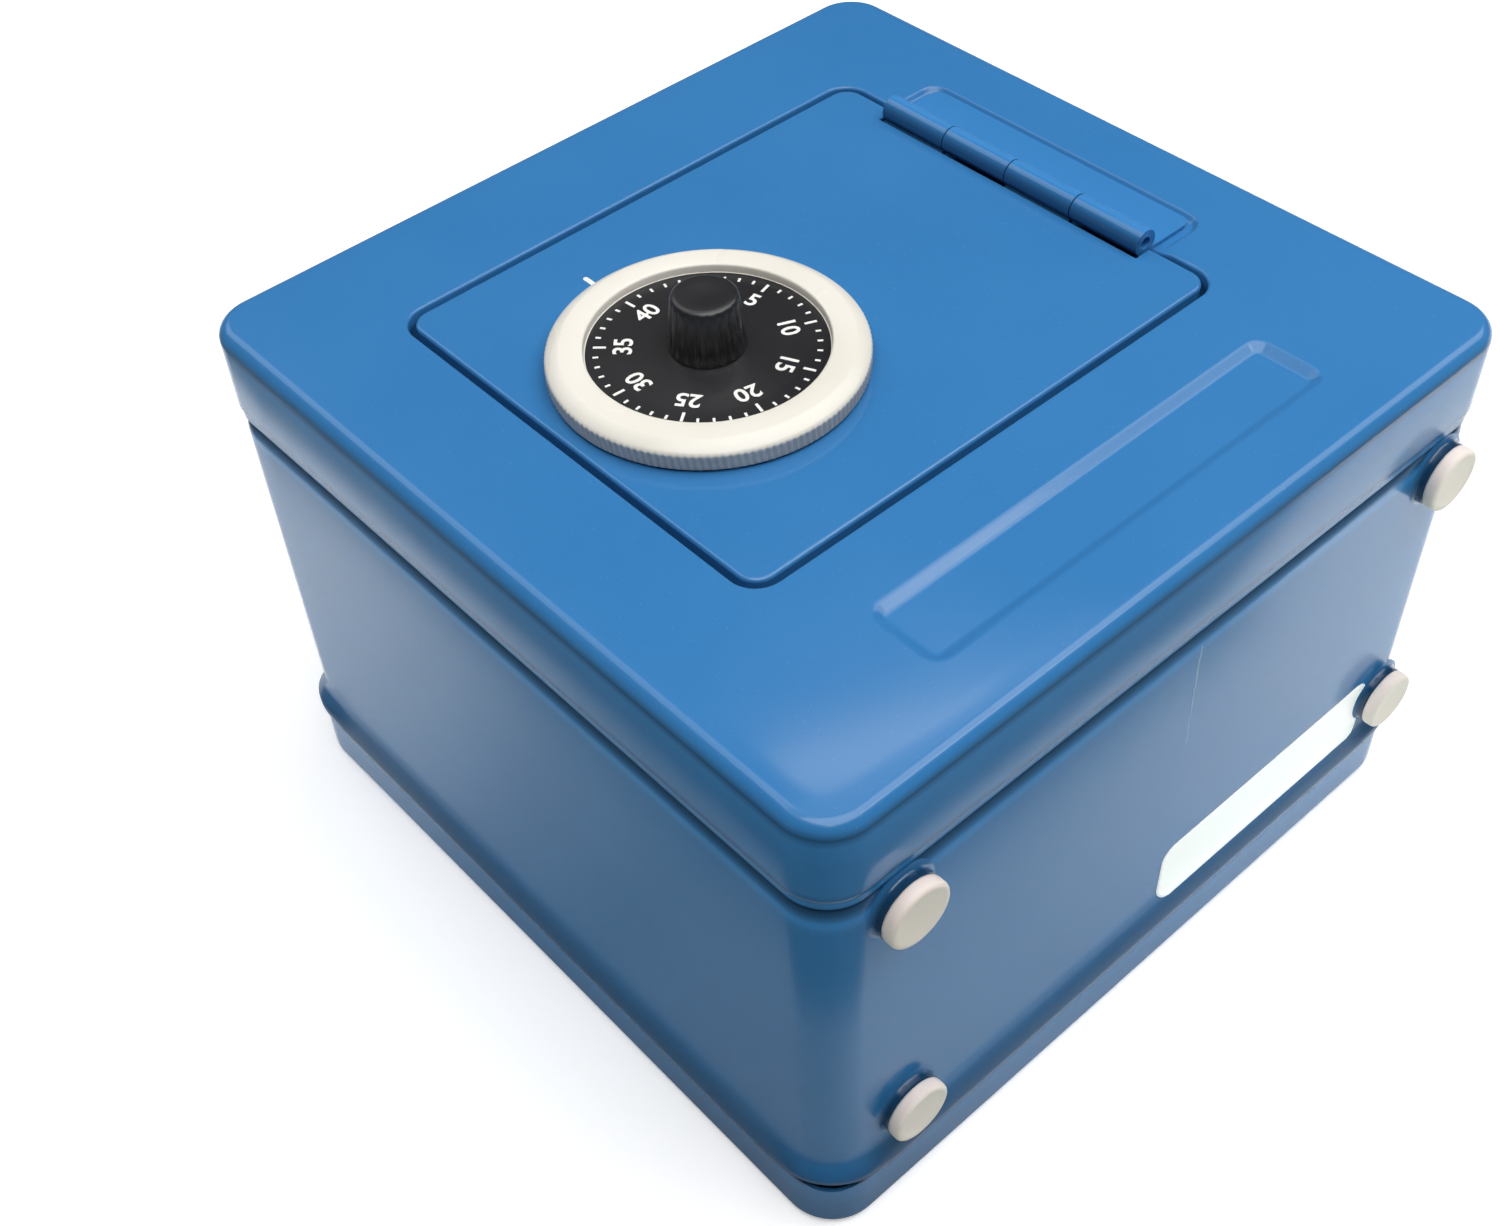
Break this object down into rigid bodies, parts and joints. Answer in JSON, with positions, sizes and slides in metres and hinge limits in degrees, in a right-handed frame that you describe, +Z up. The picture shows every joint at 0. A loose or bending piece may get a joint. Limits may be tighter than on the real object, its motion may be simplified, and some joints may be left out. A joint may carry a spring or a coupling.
{
  "type": "combination safe",
  "caption": "Small sheet-steel combination safe: hinged door with a numbered dial, a tumbler lock behind it, and rubber feet.",
  "frame": {"origin": "on the surface the safe stands on, below the centre of the whole safe", "axes": "+X to the right seen from the front, +Y from the front face into the safe, +Z up; the door faces -Y"},
  "size_m": [0.2252, 0.175, 0.228],
  "materials": {
    "cabinet_paint": "gloss",
    "plated_steel": "satin",
    "lock_zinc": "satin",
    "brass": "satin",
    "foot_rubber": "matt",
    "dial_ring_metal": "satin",
    "dial_black": "gloss"
  },
  "bodies": {
    "cabinet": {"front_cover": "cabinet_paint", "body_shell": "cabinet_paint", "back_cover": "cabinet_paint", "foot_front_left": "foot_rubber", "foot_front_right": "foot_rubber", "foot_rear_left": "foot_rubber", "foot_rear_right": "foot_rubber", "door_stops": "plated_steel", "hinge_frame_leaf": "cabinet_paint", "hinge_pin": "plated_steel"},
    "door": {"door_panel": "cabinet_paint", "hinge_door_leaf": "cabinet_paint", "hinge_rivets": "plated_steel", "door_studs": "plated_steel", "spindle_bushing": "brass", "lock_case": "lock_zinc", "lock_cover": "lock_zinc", "lock_nuts": "plated_steel", "cover_screws": "plated_steel", "wheel_spacers": "plated_steel", "post_clip": "plated_steel"},
    "dial": {"dial_ring": "dial_ring_metal", "dial_plate": "dial_black", "dial_knob": "dial_black", "dial_spindle": "plated_steel", "drive_cam": "brass"},
    "tumbler_1": {"wheel_1": "brass"},
    "tumbler_2": {"wheel_2": "brass"},
    "tumbler_3": {"wheel_3": "brass"},
    "bolt_carriage": {"bolt": "plated_steel", "lever_screw": "plated_steel", "lever_spring": "plated_steel"},
    "lever": {"fence_lever": "plated_steel"}
  },
  "joints": [
    {"name": "door_hinge", "type": "hinge", "parent": "cabinet", "child": "door", "pos_m": [0.0705, -0.0696, 0.1256], "axis": [0, 0, 1], "range_deg": [0, 165]},
    {"name": "dial_spin", "type": "hinge", "parent": "door", "child": "dial", "pos_m": [-0.0332, -0.0675, 0.1246], "axis": [0, -1, 0], "continuous": true},
    {"name": "wheel_1_spin", "type": "hinge", "parent": "door", "child": "tumbler_1", "pos_m": [-0.0332, -0.0675, 0.1246], "axis": [0, -1, 0], "continuous": true},
    {"name": "wheel_2_spin", "type": "hinge", "parent": "door", "child": "tumbler_2", "pos_m": [-0.0332, -0.0675, 0.1246], "axis": [0, -1, 0], "continuous": true},
    {"name": "wheel_3_spin", "type": "hinge", "parent": "door", "child": "tumbler_3", "pos_m": [-0.0332, -0.0675, 0.1246], "axis": [0, -1, 0], "continuous": true},
    {"name": "bolt_slide", "type": "slide", "parent": "door", "child": "bolt_carriage", "axis": [-1, 0, 0], "range_m": [0, 0.007]},
    {"name": "lever_lift", "type": "hinge", "parent": "bolt_carriage", "child": "lever", "pos_m": [-0.0571, -0.0675, 0.1406], "axis": [0, -1, 0], "range_deg": [0, 6]}
  ],
  "couplings": [
    {"joint": "wheel_1_spin", "follows": "dial_spin", "ratio": 1},
    {"joint": "wheel_2_spin", "follows": "dial_spin", "ratio": 1},
    {"joint": "wheel_3_spin", "follows": "dial_spin", "ratio": 1}
  ]
}
